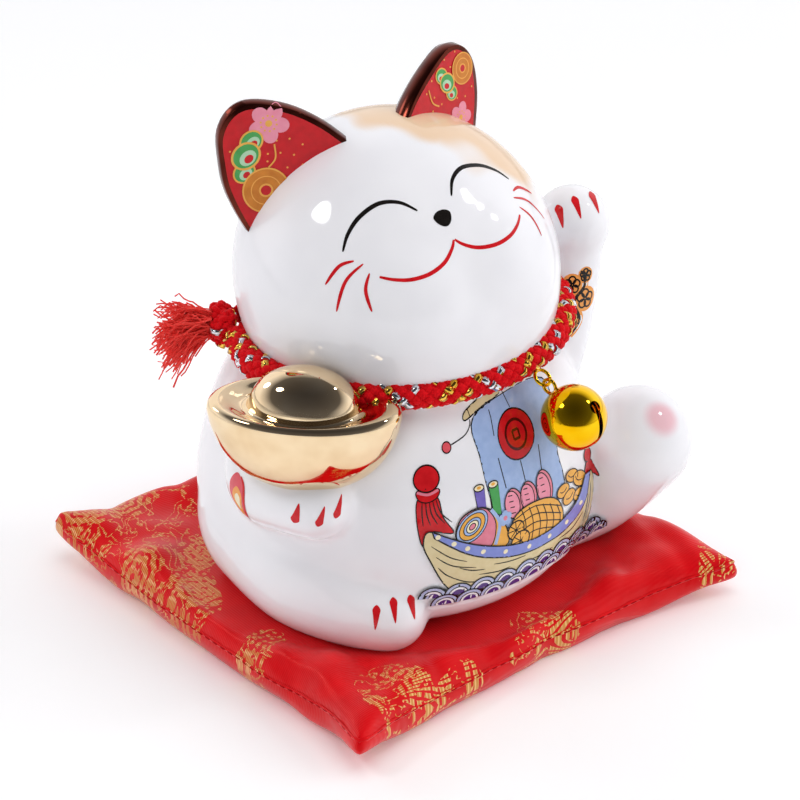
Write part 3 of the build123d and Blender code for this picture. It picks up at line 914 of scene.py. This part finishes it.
# ------------------------------------------------------------------ collar
# The collar's middle, its half width and depth, the side its knot is on in degrees, the gap that the
# knot fills, and the side where it hangs slack, by a share of its reach.
COLLAR_MIDDLE = (2.0, -2.0)
COLLAR_REACH = (31.6, 28.1)
KNOT_SIDE = 142
KNOT_HALF_GAP = 7
SLACK_SIDE = math.radians(158)
SLACK = 0.12
CORD_RADIUS = 2.25
CORD_STRANDS = 7
CORD_PITCH = 17.0
TASSEL_STRANDS = 460
TASSEL_SEED = 7


def ring_path(steps):
    """The collar's line round the neck, from one side of the knot to the other, on a smooth curve."""
    low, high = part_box("collar_cord")
    height = (low.z + high.z) / 2 / MM
    curve = bpy.data.curves.new("collar_line", "CURVE")
    curve.dimensions = "3D"
    spline = curve.splines.new("NURBS")
    count = 25
    spline.points.add(count - 1)
    for k in range(count):
        a = math.radians(KNOT_SIDE + KNOT_HALF_GAP + (360 - 2 * KNOT_HALF_GAP) * k / (count - 1))
        slack = 1 + SLACK * max(0.0, math.cos(a - SLACK_SIDE)) ** 3
        spline.points[k].co = (COLLAR_MIDDLE[0] + COLLAR_REACH[0] * slack * math.cos(a),
                               COLLAR_MIDDLE[1] + COLLAR_REACH[1] * slack * math.sin(a),
                               height + 0.5 * math.cos(a), 1)
    spline.order_u = 3
    spline.use_endpoint_u = True
    spline.resolution_u = steps
    holder = bpy.data.objects.new("collar_line", curve)
    line = [v.co.copy() for v in bpy.data.meshes.new_from_object(holder).vertices]
    bpy.data.objects.remove(holder)
    return line


def sweep_strand(bm, rings, sides, material):
    """A strand from rings of (centre, out, across, half thickness, half width)."""
    rows = []
    for centre, out, across, thick, wide in rings:
        row = []
        for k in range(sides):
            a = 2 * math.pi * k / sides
            row.append(bm.verts.new(centre + out * thick * math.cos(a) + across * wide * math.sin(a)))
        rows.append(row)
    for first, second in zip(rows, rows[1:]):
        for k in range(sides):
            j = (k + 1) % sides
            bm.faces.new((first[k], first[j], second[j], second[k])).material_index = material
    for row in (rows[0], rows[-1]):
        bm.faces.new(row).material_index = material


def braid(bm, line, radius, strands, pitch, tinsel):
    """A round braid: strands that wind both ways and pass over and under; some carry tinsel."""
    spots = []
    travel = 0.0
    for k, point in enumerate(line):
        if k:
            travel += (point - line[k - 1]).length
        way = (line[min(k + 1, len(line) - 1)] - line[max(k - 1, 0)]).normalized()
        side = way.cross(UP).normalized()
        spots.append((point, way, side, side.cross(way).normalized(), travel))
    width = math.pi * radius / strands * 1.02
    for hand in (1, -1):
        for number in range(strands):
            rings = []
            bright = []
            for point, way, side, top, travel in spots:
                wind = 2 * math.pi * travel / pitch
                a = hand * wind + 2 * math.pi * number / strands
                beat = math.cos(strands * wind) * hand
                out = side * math.cos(a) + top * math.sin(a)
                round_way = (top * math.cos(a) - side * math.sin(a)) * hand
                run = (way * pitch + round_way * 2 * math.pi * radius).normalized()
                across = out.cross(run).normalized()
                reach = radius + 0.38 * beat
                rings.append((point + out * reach, out, across, 0.5, width * 0.92))
                bright.append((point + out * (reach + 0.40), out, across, 0.14, 0.72))
            sweep_strand(bm, rings, 6, 0)
            if (hand, number) in tinsel:
                sweep_strand(bm, bright, 4, tinsel[(hand, number)])


def make_collar(yarn, gold_foil, silver_foil):
    """The braided neck cord with gold and silver tinsel in its strands."""
    bm = bmesh.new()
    line = ring_path(16)
    braid(bm, line, CORD_RADIUS, CORD_STRANDS, CORD_PITCH,
          {(1, 0): 1, (1, 3): 2, (-1, 1): 1, (-1, 4): 2, (1, 5): 1})
    core = []
    for k in range(0, len(line), 4):
        way = (line[min(k + 1, len(line) - 1)] - line[max(k - 1, 0)]).normalized()
        core.append((line[k], UP, UP.cross(way), 2.2, 2.2))
    sweep_strand(bm, core, 12, 0)
    bmesh.ops.recalc_face_normals(bm, faces=bm.faces)
    return finish_piece("braided_collar", bm, "cat", [yarn, gold_foil, silver_foil],
                        nodes=["collar_cord"])


def knot_frame():
    """The knot's middle, the way out from the neck there, and the way across."""
    low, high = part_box("collar_knot")
    middle = (low + high) / 2 / MM
    outward = Vector((middle.x - COLLAR_MIDDLE[0], middle.y - COLLAR_MIDDLE[1], 0)).normalized()
    return middle, outward, outward.cross(UP)


def make_knot(yarn, gold_foil, silver_foil):
    """The knot: the cord's two ends wound once over each other."""
    middle, outward, across = knot_frame()
    points = []
    for k in range(90):
        a = 2 * math.pi * k / 90
        x = math.sin(a) + 1.7 * math.sin(2 * a)
        y = math.cos(a) - 1.7 * math.cos(2 * a)
        z = -math.sin(3 * a)
        points.append(middle + across * x * 1.15 + UP * y * 1.2 + outward * z * 1.1)
    bm = bmesh.new()
    braid(bm, points + points[:2], 1.15, 5, 9.0, {(1, 0): 1, (-1, 2): 2})
    bmesh.ops.recalc_face_normals(bm, faces=bm.faces)
    return finish_piece("collar_knot_braid", bm, "cat", [yarn, gold_foil, silver_foil],
                        nodes=["collar_knot"])


def make_tassel(yarn):
    """The frayed end of the cord: kinked filaments that spread out from the knot and droop."""
    rng = random.Random(TASSEL_SEED)
    root, outward, across = knot_frame()
    bm = bmesh.new()
    for _ in range(TASSEL_STRANDS):
        side = rng.gauss(0, 0.42)
        rise = rng.gauss(-0.05, 0.4)
        way = (outward + across * side + UP * rise).normalized()
        length = rng.uniform(4.5, 12.5)
        droop = rng.uniform(0.01, 0.04)
        curl = rng.uniform(0.25, 0.9)
        beat = rng.uniform(0.6, 1.5)
        phase = rng.uniform(0, 6.28)
        start = root + outward * 2.2 + across * rng.gauss(0, 1.0) + UP * rng.gauss(0, 1.2)
        thick = rng.uniform(0.12, 0.2)
        spots = []
        for k in range(9):
            t = length * k / 8
            kink = across * math.sin(beat * t + phase) + UP * math.cos(beat * 1.3 * t + phase)
            spots.append(start + way * t + kink * curl * k / 8 - UP * droop * t * t)
        rings = []
        for k, spot in enumerate(spots):
            run = (spots[min(k + 1, 8)] - spots[max(k - 1, 0)]).normalized()
            out = run.cross(across).normalized()
            rings.append((spot, out, run.cross(out), thick, thick * (1.6 - 0.1 * k)))
        sweep_strand(bm, rings, 4, 0)
    bmesh.ops.recalc_face_normals(bm, faces=bm.faces)
    return finish_piece("frayed_tassel", bm, "cat", [yarn], nodes=["collar_tassel"])


# ------------------------------------------------------------------ cushion
# Millimetres: how far the sides pull in between the corners, how far each corner curls up by its side
# in X and Y, and how far out the cover is held flat under the cat.
WAIST = 3.0
CORNER_LIFTS = {(False, True): 3.8, (False, False): 2.4, (True, False): 1.4, (True, True): 3.0}
SEAT_REACH = 43
# The seam runs a little above the middle; one side swells out and another is pinched in by a gather.
SEAM_RISE = 1.3
SIDE_BULGE = 6.5
SIDE_PINCH = 1.6
# The cover's relief outside the seat: broad folds, folds that radiate from the cat, the swell inside
# the seam, sharp creases, and the puckers that the stitches draw.
FOLD_HEIGHT = 0.42
RAY_HEIGHT = 0.55
SWELL_HEIGHT = 1.6
CREASE_DEPTH = 1.1
PUCKER_HEIGHT = 0.3
STUFFING_REACH = 1.5
# Each cover layer's share of the full size; the middle one is the seam's.
LAYER_SHARES = (0.93, 0.97, 0.985, 0.965, 0.91)
SEAM_STEPS = 44


def cushion_outline(half, steps):
    """Four sides that pull in between sharp corners."""
    out = []
    for k in range(4):
        a = math.radians(90 * k)
        for s in range(steps):
            t = s / steps * 2 - 1
            x, y = half - WAIST * (1 - t * t), half * t
            out.append((x * math.cos(a) - y * math.sin(a), x * math.sin(a) + y * math.cos(a)))
    return out


def corner_share(x, y, half):
    """0 over most of the cushion, rising to 1 at a corner's tip."""
    return max(0.0, (abs(x) + abs(y)) / half - 1.4) / 0.6


def corner_lift(x, y, half):
    """How far the cushion's corners curl up, in millimetres; each does so by its own amount."""
    return CORNER_LIFTS[x > 0, y > 0] * corner_share(x, y, half) ** 1.5


# Where the brocade's gold sprays fall on this cushion: x, y and reach, in millimetres.
GOLD_FIELDS = ((-42, 36, 21), (-47, 10, 9), (-44, -14, 6), (-35, -42, 9), (-20, -47, 6), (2, -46, 9),
               (46, -45, 6), (30, 40, 16), (-6, 44, 9), (45, 10, 9))


# The 0.15 mm weft and 0.3 mm warp threads are drawn at these spacings, in millimetres, so that they show.
WEFT_PITCH = 0.45
WARP_PITCH = 0.9
BLOSSOM_SPACING = 19.0
BLOSSOM_REACH = 5.6
PETALS = 7.0
DOT_SPACING = 1.7


def make_brocade():
    """Red satin brocade: a smooth warp face with gold weft floats that draw blossoms and dots."""
    material, tree, shader = new_material(
        "red_gold_brocade", {"Roughness": 0.3, "Specular IOR Level": 0.55,
                             "Specular Tint": linear("#FF5A4C"), "Sheen Weight": 0.05})
    place = object_place(tree, 1 / MM)
    split = add(tree, "ShaderNodeSeparateXYZ", None, {0: place}).outputs
    weft = calc(tree, "SINE", calc(tree, "MULTIPLY", split["Y"], 2 * math.pi / WEFT_PITCH))
    warp = calc(tree, "SINE", calc(tree, "MULTIPLY", split["X"], 2 * math.pi / WARP_PITCH))
    # Ringed blossoms with scalloped edges, one to a cell.
    cells = add(tree, "ShaderNodeTexVoronoi", {"voronoi_dimensions": "2D", "Scale": 1 / BLOSSOM_SPACING,
                                               "Randomness": 0.75}, {"Vector": place})
    offset = add(tree, "ShaderNodeVectorMath", {"operation": "SUBTRACT"},
                 {0: place, 1: cells.outputs["Position"]})
    parts = add(tree, "ShaderNodeSeparateXYZ", None, {0: offset.outputs[0]}).outputs
    flat_way = add(tree, "ShaderNodeCombineXYZ", None, {0: parts["X"], 1: parts["Y"]})
    reach = add(tree, "ShaderNodeVectorMath", {"operation": "LENGTH"},
                {0: flat_way.outputs[0]}).outputs["Value"]
    angle = calc(tree, "ARCTAN2", parts["Y"], parts["X"])
    petals = calc(tree, "SINE", calc(tree, "MULTIPLY", angle, PETALS))
    inside = calc(tree, "LESS_THAN", reach, calc(tree, "MULTIPLY_ADD", petals, 1.1, BLOSSOM_REACH))
    rings = calc(tree, "SINE", calc(tree, "MULTIPLY_ADD", reach, 3.4, petals))
    flower = calc(tree, "MULTIPLY", inside, calc(tree, "GREATER_THAN", rings, -0.25))
    # Winding stems and fields of dots between them.
    vine = calc(tree, "COMPARE", noise(tree, place, 1 / 5.5, 2.0, Distortion=1.4), 0.5, 0.022)
    dots = add(tree, "ShaderNodeTexVoronoi", {"voronoi_dimensions": "2D", "Scale": 1 / DOT_SPACING,
                                              "Randomness": 0.35}, {"Vector": place})
    dotted = calc(tree, "MULTIPLY", calc(tree, "LESS_THAN", dots.outputs["Distance"], 0.27),
                  calc(tree, "GREATER_THAN", noise(tree, place, 1 / 22.0, 1.0), 0.56))
    drawn = calc(tree, "MAXIMUM", flower, calc(tree, "MAXIMUM", vine, dotted))
    # The gold shows inside the sprays, whose edges are ragged, and only where the weft floats.
    present = noise(tree, place, 1 / 6.0, 2.0)
    for x, y, spread in GOLD_FIELDS:
        far = add(tree, "ShaderNodeVectorMath", {"operation": "DISTANCE", 1: (x, y, 5.0)}, {0: place})
        near = add(tree, "ShaderNodeMapRange", {"From Min": spread * 0.7, "From Max": spread * 1.3,
                                                "To Min": 1.0, "To Max": 0.0},
                   {"Value": far.outputs["Value"]})
        present = calc(tree, "ADD", present, near.outputs["Result"])
    floats = calc(tree, "MULTIPLY", calc(tree, "GREATER_THAN", weft, -0.35),
                  calc(tree, "GREATER_THAN", present, 0.98))
    gold_on = calc(tree, "MULTIPLY", drawn, floats)
    red = ramp(tree, noise(tree, place, 1 / 9.0, 3.0), [(0.3, "#CE0612"), (0.7, "#E40E18")])
    gold = ramp(tree, warp, [(0.0, "#D79B4C"), (1.0, "#F3D08C")])
    mixed = add(tree, "ShaderNodeMix", {"data_type": "RGBA"}, {0: gold_on, 6: red, 7: gold})
    tree.links.new(mixed.outputs[2], shader.inputs["Base Color"])
    add_bump(tree, shader, calc(tree, "MULTIPLY_ADD", weft, 0.25, gold_on), 0.09, strength=0.6)
    return material


def make_cushion(brocade, thread):
    """A thin stuffed square: crowned by cloth simulation, with curled corners and a sewn edge."""
    low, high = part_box("cushion_top_cover")
    half = (high.x - low.x) / 2 / MM
    top = high.z / MM
    middle = low.z / MM
    bm = bmesh.new()
    heights = (0.6, 0.3 * middle, middle, top - 0.3 * middle, top - 0.6)
    rows = []
    for size, height in zip(LAYER_SHARES, heights):
        rows.append([bm.verts.new((x * size, y * size, height)) for x, y in cushion_outline(half, 24)])
    for first, second in zip(rows, rows[1:]):
        for k in range(len(first)):
            j = (k + 1) % len(first)
            bm.faces.new((first[k], first[j], second[j], second[k]))
    bm.faces.new(rows[0][::-1])
    bm.faces.new(rows[-1])
    bmesh.ops.recalc_face_normals(bm, faces=bm.faces)
    piece = finish_piece("brocade_cushion", bm, "cushion", [brocade],
                         nodes=["cushion_top_cover", "cushion_bottom_cover", "cushion_filling"])
    remesh = piece.modifiers.new("fill", "REMESH")
    remesh.mode = "VOXEL"
    remesh.voxel_size = 1.5 * MM
    settle(piece)
    start = [v.co.copy() for v in piece.data.vertices]
    cloth = piece.modifiers.new("stuffing", "CLOTH")
    cloth.settings.use_pressure = True
    cloth.settings.uniform_pressure_force = 4.0
    cloth.settings.effector_weights.gravity = 0.0
    cloth.settings.tension_stiffness = 12.0
    cloth.settings.compression_stiffness = 12.0
    cloth.settings.bending_stiffness = 0.4
    cloth.settings.mass = 0.2
    for at in range(1, 21):
        bpy.context.scene.frame_set(at)
    settle(piece)
    bpy.context.scene.frame_set(1)
    for vertex, was in zip(piece.data.vertices, start):
        move = vertex.co - was
        if move.length > STUFFING_REACH * MM:
            move *= STUFFING_REACH * MM / move.length
        vertex.co = was + move
    shape_cushion(piece, half, top, middle)
    smooth = piece.modifiers.new("soften", "SMOOTH")
    smooth.iterations = 2
    finer = piece.modifiers.new("finer", "SUBSURF")
    finer.levels = finer.render_levels = 1
    settle(piece)
    for vertex in piece.data.vertices:
        vertex.co.z = max(vertex.co.z, 0.0)
    make_edge_seam(piece, half, middle, thread)
    return piece


def shape_cushion(piece, half, top, middle):
    """Draws the corners out to points and curls them up, lets one side bulge, folds the cover in from
    the seam, and keeps the middle flat under the cat."""
    for vertex in piece.data.vertices:
        x, y, z = vertex.co / MM
        out = max(abs(x), abs(y)) / half
        corner = corner_share(x, y, half)
        under = math.hypot(x, y)
        rim = min(1.0, max(0.0, (under - 40) / 6))
        upper = z > middle
        z = middle + (z - middle) * (1 - 0.55 * min(corner, 1.0))
        fold = (math.sin(x * 0.30 + 2.4 * math.sin(y * 0.10))
                + math.sin(y * 0.27 + 2.0 * math.sin(x * 0.12)))
        turn = math.atan2(y, x)
        ray = math.sin(17 * turn + 2.2 * math.sin(5 * turn))
        crease = abs(math.sin((x - y) * 0.16 + 1.3 * math.sin((x + y) * 0.09)))
        along = x if abs(y) > abs(x) else y
        gather = math.sin(2.3 * along + 1.6 * math.sin(0.5 * along))
        near_seam = math.exp(-((z - middle - SEAM_RISE) / 0.95) ** 2)
        near_seam *= min(1.0, max(0.0, (out - 0.88) / 0.05))
        pull = near_seam * (0.75 + 0.4 * gather) / half
        if upper:
            swell = math.sin(math.pi * min(1.0, max(0.0, (1.02 - out) / 0.34)))
            z += rim * (FOLD_HEIGHT * fold + RAY_HEIGHT * ray + SWELL_HEIGHT * swell
                        - CREASE_DEPTH * (1 - crease) ** 3)
        else:
            z += rim * 0.25 * fold * (z > 0.5)
        pucker = PUCKER_HEIGHT * gather * max(0.0, out - 0.9) / 0.1
        if under < SEAT_REACH:
            z = min(z, top - 0.04)
        stretch = 1 + 0.045 * corner ** 1.5 - pull
        pinch = SIDE_PINCH * math.exp(-((x - 3) / 3.5) ** 2) * max(0.0, (-y - 38) / 12)
        bulge = SIDE_BULGE * max(0.0, (-x - 25) / 25) ** 1.5 * max(0.0, 1 - ((y - 8) / 44) ** 2)
        vertex.co = Vector((x * stretch - bulge, y * stretch + pinch,
                            z + corner_lift(x, y, half) + pucker * upper)) * MM


def make_edge_seam(piece, half, middle, thread):
    """The sewn edge: a fine roll round the cushion's side, and the stitches that pull it in."""
    skin = skin_of(piece)
    line = []
    for x, y in cushion_outline(half * 1.3, SEAM_STEPS):
        start = Vector((x, y, middle + SEAM_RISE + corner_lift(x / 1.3, y / 1.3, half)))
        spot, _, _, _ = skin.ray_cast(start, Vector((-x, -y, 0)).normalized())
        if spot is not None:
            line.append(spot)
    bm = bmesh.new()
    rings = []
    for k, point in enumerate(line + line[:1]):
        out = Vector((point.x, point.y, 0)).normalized()
        rings.append((point, out, UP, 0.34, 0.42 + 0.1 * math.sin(2.1 * k)))
    sweep_strand(bm, rings, 8, 0)
    bmesh.ops.recalc_face_normals(bm, faces=bm.faces)
    finish_piece("cushion_edge_seam", bm, "cushion", list(piece.data.materials))
    bm = bmesh.new()
    for here, after in zip(line, line[1:]):
        if corner_share(here.x, here.y, half) > 0.8:
            continue
        way = (after - here).normalized()
        out = Vector((here.x, here.y, 0)).normalized()
        lift = out * 0.3
        rings = []
        for t, thick in ((0.1, 0.05), (0.25, 0.17), (0.5, 0.19), (0.7, 0.17), (0.82, 0.05)):
            rings.append((here.lerp(after, t) + lift, out, way.cross(out), thick, thick))
        sweep_strand(bm, rings, 6, 0)
    bmesh.ops.recalc_face_normals(bm, faces=bm.faces)
    finish_piece("cushion_stitches", bm, "cushion", [thread])


# ------------------------------------------------------------------ stage
def make_stage():
    """A plain pale floor that runs back out of sight, and soft light from all round."""
    bm = bmesh.new()
    bmesh.ops.create_grid(bm, x_segments=2, y_segments=2, size=4)
    mesh = bpy.data.meshes.new("floor")
    bm.to_mesh(mesh)
    bm.free()
    floor = bpy.data.objects.new("floor", mesh)
    bpy.context.scene.collection.objects.link(floor)
    material, tree, shader = new_material("white_paper_sweep", {
        "Roughness": 0.6, "Emission Color": (1.0, 1.0, 1.0, 1.0), "Emission Strength": 0.1})
    grain = noise(tree, object_place(tree), 8.0, 2.0)
    tree.links.new(ramp(tree, grain, [(0.0, "#FBFBFC"), (1.0, "#FFFFFF")]), shader.inputs["Base Color"])
    mesh.materials.append(material)
    world = bpy.data.worlds.new("studio")
    world.use_nodes = True
    tree = world.node_tree
    room = add(tree, "ShaderNodeTexCoord")
    toward = add(tree, "ShaderNodeVectorMath", {"operation": "DOT_PRODUCT", 1: DARK_SIDE},
                 {0: room.outputs["Generated"]})
    share = add(tree, "ShaderNodeMapRange", {"From Min": -1.0}, {"Value": toward.outputs["Value"]})
    background = tree.nodes["Background"]
    tree.links.new(ramp(tree, share.outputs["Result"], ROOM_TONES), background.inputs["Color"])
    background.inputs["Strength"].default_value = ROOM_STRENGTH
    bpy.context.scene.world = world
    bpy.context.scene.view_settings.view_transform = "Standard"
    make_lights()


make_camera()
make_stage()

INK = {name: make_enamel(name + "_enamel", *codes) for name, codes in {
    "black": ("#14110F", "#1E1A18"), "red": ("#D81F26", "#C4141C"), "ember": ("#5A120E", "#4A0E0C"),
    "crimson": ("#D20C1A", "#BE0614"), "sky": ("#A9C0E8", "#9AB2DE"), "periwinkle": ("#8894D8", "#7C88CC"),
    "straw": ("#E2D2A6", "#D8C696"), "mist": ("#BCC4E2", "#AEB6DA"), "plum": ("#5B3A86", "#4C2E78"),
    "violet": ("#7A6BC0", "#6C5CB2"), "leaf": ("#4FA85A", "#419A4C"), "cream": ("#F6EBCB", "#F0E2BC"),
    "amber": ("#F2B455", "#E8A644"), "orange": ("#D9862A", "#C4701C"), "rose": ("#E7899C", "#DE7A8E"),
    "pink": ("#F09AAE", "#EA8CA2"), "coral": ("#E5606A", "#DA525C"), "glow": ("#F3A95C", "#EF9C4A"),
    "white": ("#F5F4F8", "#F1F0F4"), "mint": ("#B9DDBB", "#A8D2AC")}.items()}
GLAZE = make_glaze()
EAR_LUSTRE = make_lustre("burgundy_lustre", "#4A1C16", "#6E3226", 0.16)
GOLD_LUSTRE = make_lustre("pale_gold_lustre", "#EBCDA2", "#F8E0BA", 0.05)
BRASS = make_lustre("lacquered_yellow_brass", "#F7B800", "#FFD11E", 0.07)
GOLD_FOIL = make_lustre("gold_tinsel_foil", "#E3A823", "#FFDC70", 0.12)
SILVER_FOIL = make_lustre("silver_tinsel_foil", "#C9CCD2", "#F4F6FA", 0.1)
STEEL = make_lustre("plain_steel", "#7A7C80", "#9A9CA0", 0.3)
YARN = make_yarn("red_braid_yarn", "#BE0A14", "#F01C24")
FLOSS = make_yarn("red_frayed_floss", "#FA2E2E", "#FF6258")
BROCADE = make_brocade()
SEAM_THREAD = make_yarn("red_seam_thread", "#96060E", "#C40E16")

figure = make_ceramic(GLAZE)
figure_skin = skin_of(figure)
make_face(figure_skin, INK)
make_ship(figure_skin, INK)
make_claws(figure_skin, INK)
make_arm_ornament(figure_skin, INK)
make_flame(figure_skin, INK)
make_ear(1, "left_ear_shell", "left_ear", EAR_LUSTRE, INK)
make_ear(-1, "right_ear_shell", "right_ear", EAR_LUSTRE, INK)
make_ingot(GOLD_LUSTRE)
make_collar(YARN, GOLD_FOIL, SILVER_FOIL)
make_knot(YARN, GOLD_FOIL, SILVER_FOIL)
make_tassel(FLOSS)
make_cushion(BROCADE, SEAM_THREAD)
for node, metal in (("bell_cap", BRASS), ("bell_cup", BRASS), ("bell_eye", BRASS),
                    ("bell_jump_ring", BRASS), ("bell_pellet", STEEL)):
    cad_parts[node].data.materials.clear()
    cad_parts[node].data.materials.append(metal)
